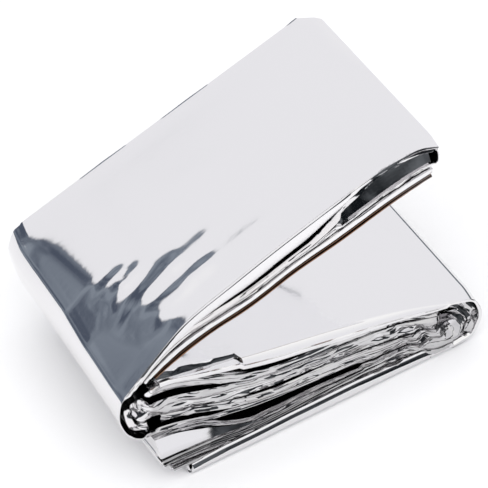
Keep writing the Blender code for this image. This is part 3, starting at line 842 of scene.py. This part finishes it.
def node(tree, kind, links=(), values=(), **settings):
    """Adds one node, sets its properties and inputs, and links it."""
    made = tree.nodes.new(kind)
    for key, value in settings.items():
        if hasattr(made, key):
            setattr(made, key, value)
        else:
            made.inputs[key.replace("_", " ")].default_value = value
    for socket, value in values:
        made.inputs[socket].default_value = value
    for socket, source in links:
        tree.links.new(source, made.inputs[socket])
    return made


# Vacuum-aluminised polyester, 12 micrometres thick: a mirror with the faint haze and the
# fine crazing that folding leaves, with painted brown shade along the rim for the shaded gaps
# under the edges.
film_material = bpy.data.materials.new("aluminised_polyester_film")
film_material.use_nodes = True
tree = film_material.node_tree
tree.nodes.clear()

# Over the plain silver lie painted light on the top flap's underside, lighter so that its
# reflection in the middle flap stays bright, painted shade on the fronts where many layers lie
# edge to edge and some of the light is caught between them, and painted brown shade along the rim
SILVER = linear("#E3E2E3")
under = []
for name, tint in (("underside_painted_light", "#F6F6F8"), ("painted_gap_shade", "#898889"), ("bronze", "#86644E")):
    amount = node(tree, "ShaderNodeAttribute", attribute_name=name).outputs["Fac"]
    mix = node(tree, "ShaderNodeMix", [(0, amount), *under],
               [(6, SILVER), (7, linear(tint))], data_type="RGBA")
    under = [(6, mix.outputs[2])]

# Crazing, about 4 mm long by 1.4 mm across, with finer ones down to a quarter of that. It is
# coarser than the real one, which wouldn't show at this size
place = node(tree, "ShaderNodeTexCoord").outputs["Object"]
WRINKLES_PER_METRE = (240.0, 700.0, 700.0)
stretch = node(tree, "ShaderNodeMapping", [("Vector", place)], [("Scale", WRINKLES_PER_METRE)])
wrinkle = node(tree, "ShaderNodeTexNoise", [("Vector", stretch.outputs[0])], Scale=1.0, Detail=3.0)
bump = node(tree, "ShaderNodeBump", [("Height", wrinkle.outputs[0])], Strength=0.03, Distance=0.0003)
shader = node(tree, "ShaderNodeBsdfPrincipled",
              [("Base Color", mix.outputs[2]), ("Normal", bump.outputs[0])],
              Metallic=1.0, Roughness=0.07)
node(tree, "ShaderNodeOutputMaterial", [("Surface", shader.outputs[0])])
mesh.materials.append(film_material)

# The blanket is 2.1 m by 1.6 m, so folded lengthwise it is a strip of 2.1 m by 80 mm
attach(film, "root")
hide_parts("foil_blanket")

# ---------------------------------------------------------------------------------------------
# The studio: a white sweep under a bright tent, with dark panels round the horizon, which the
# film needs in order to show its creases, and lamps that even out the floor.
# ---------------------------------------------------------------------------------------------
scene = bpy.context.scene
scene.view_settings.view_transform = "Standard"

floor_mesh = bpy.data.meshes.new("studio_floor")
floor_mesh.from_pydata([(-3, -3, 0), (3, -3, 0), (3, 3, 0), (-3, 3, 0)], [], [(0, 1, 2, 3)])
floor = bpy.data.objects.new("studio_floor", floor_mesh)
scene.collection.objects.link(floor)
paper = bpy.data.materials.new("white_paper")
paper.use_nodes = True
paper_shader = paper.node_tree.nodes["Principled BSDF"]
paper_shader.inputs["Base Color"].default_value = linear("#F6F6F7")
paper_shader.inputs["Roughness"].default_value = 0.9
floor_mesh.materials.append(paper)

# The tent is a little brighter overhead than at its sides
world = bpy.data.worlds.new("studio_tent")
world.use_nodes = True
scene.world = world
tree = world.node_tree
tree.nodes.clear()
direction = node(tree, "ShaderNodeTexCoord").outputs["Generated"]
split = node(tree, "ShaderNodeSeparateXYZ", [("Vector", direction)])
height = node(tree, "ShaderNodeValToRGB", [("Fac", split.outputs["Z"])])
sides, overhead = height.color_ramp.elements
sides.position, sides.color = 0.62, linear("#E7E7EA")
overhead.position, overhead.color = 0.95, linear("#FCFCFA")
light = node(tree, "ShaderNodeBackground", [("Color", height.outputs[0])], Strength=1.28)
node(tree, "ShaderNodeOutputWorld", [("Surface", light.outputs[0])])

PANEL_RADIUS, PANEL_STEPS = 0.9, 24  # metres from the middle of the set, and flats in the curve
PANEL_SOFT_EDGE = 0.95  # from this share of its height a panel fades into the tent


def horizon_card(name, from_angle, to_angle, low, top, hex_colour, cloud):
    """A curved, mottled panel round the set, between two compass angles and two elevations."""
    ring = []
    for i in range(PANEL_STEPS + 1):
        angle = math.radians(from_angle + (to_angle - from_angle) * i / PANEL_STEPS)
        x, y = PANEL_RADIUS * math.sin(angle), PANEL_RADIUS * math.cos(angle)
        ring += [(x, y, PANEL_RADIUS * math.tan(math.radians(e)) + MM) for e in (low, top)]
    flats = [(2 * i, 2 * i + 1, 2 * i + 3, 2 * i + 2) for i in range(PANEL_STEPS)]
    card_mesh = bpy.data.meshes.new(name)
    card_mesh.from_pydata(ring, [], flats)
    card = bpy.data.objects.new(name, card_mesh)
    scene.collection.objects.link(card)
    card.visible_camera = card.visible_diffuse = card.visible_shadow = False

    material = bpy.data.materials.new(name)
    material.use_nodes = True
    tree = material.node_tree
    tree.nodes.clear()
    where_in = node(tree, "ShaderNodeTexCoord").outputs["Object"]
    clouds = node(tree, "ShaderNodeTexNoise", [("Vector", where_in)], Scale=6.0, Detail=3.0)
    mottle = node(tree, "ShaderNodeValToRGB", [("Fac", clouds.outputs[0])])
    plain, clouded = mottle.color_ramp.elements
    plain.position, plain.color = 0.40, linear(hex_colour)
    clouded.position, clouded.color = 0.68, linear(cloud)
    height = node(tree, "ShaderNodeSeparateXYZ", [("Vector", where_in)]).outputs["Z"]
    edge_at = PANEL_RADIUS * math.tan(math.radians(top))
    fade = node(tree, "ShaderNodeMapRange", [("Value", height)],
                From_Min=PANEL_SOFT_EDGE * edge_at, From_Max=edge_at, To_Min=0.0, To_Max=1.0)
    soft = node(tree, "ShaderNodeMix", [(0, fade.outputs[0]), (6, mottle.outputs[0])],
                [(7, linear("#FCFCFE"))], data_type="RGBA")
    glow = node(tree, "ShaderNodeEmission", [("Color", soft.outputs[2])], Strength=1.0)
    node(tree, "ShaderNodeOutputMaterial", [("Surface", glow.outputs[0])])
    card_mesh.materials.append(material)


horizon_card("slate_panel_back_left", -75, 10, 0, 31, "#525A6A", "#8C95A1")
horizon_card("slate_panel_back_right", 10, 62, 6, 16, "#4A5058", "#828A94")
horizon_card("black_panel_right", 62, 165, 0, 25, "#1A1D21", "#5A5D61")
horizon_card("black_panel_front", 165, 285, 0, 28, "#12161A", "#707478")


def hang(lamp, at, aim):
    """Puts a lamp in place, turned to its aim, where the film doesn't mirror it."""
    hung = bpy.data.objects.new(lamp.name, lamp)
    hung.location = at
    hung.rotation_euler = (Vector(at) - Vector(aim)).to_track_quat("Z", "Y").to_euler()
    hung.visible_glossy = False
    scene.collection.objects.link(hung)


softbox = bpy.data.lights.new("overhead_softbox", "AREA")
softbox.shape, softbox.size, softbox.size_y, softbox.energy = "RECTANGLE", 1.2, 0.9, 3.0
hang(softbox, at=(-0.1, -0.9, 0.95), aim=(0.0, 0.0, 0.0))

# Two narrow spots brighten the floor that the front edges and the left fold mirror
for name, watts, blur, at, aim in (
    ("front_spot", 10.0, 0.05, (0.03, -0.75, 0.75), (0.03, -0.125, 0.0)),
    ("left_spot", 8.0, 0.1, (-0.80, -0.30, 0.75), (-0.115, 0.0, 0.0)),
):
    spot = bpy.data.lights.new(name, "SPOT")
    spot.energy, spot.shadow_soft_size = watts, blur
    spot.spot_size, spot.spot_blend = math.radians(11), 1.0
    hang(spot, at, aim)

# The camera looks down on the front of the packet from its left, with a long lens
CAMERA_AT = (-0.2048, -0.5264, 0.5154)
CAMERA_LENS = 184.43
azimuth, elevation, roll = (math.radians(a) for a in (-21.248, 40.326, -7.069))
camera_data = bpy.data.cameras.new("camera")
camera_data.lens, camera_data.sensor_width = CAMERA_LENS, 36.0
camera = bpy.data.objects.new("camera", camera_data)
ahead = Vector((-math.sin(azimuth) * math.cos(elevation),
                math.cos(azimuth) * math.cos(elevation), -math.sin(elevation)))
level = Vector((math.cos(azimuth), math.sin(azimuth), 0.0))
right_hand = level * math.cos(roll) + level.cross(ahead) * math.sin(roll)
upward = right_hand.cross(ahead)
camera.matrix_world = Matrix.Translation(CAMERA_AT) @ Matrix(
    (right_hand, upward, -ahead)).transposed().to_4x4()
scene.collection.objects.link(camera)
scene.camera = camera
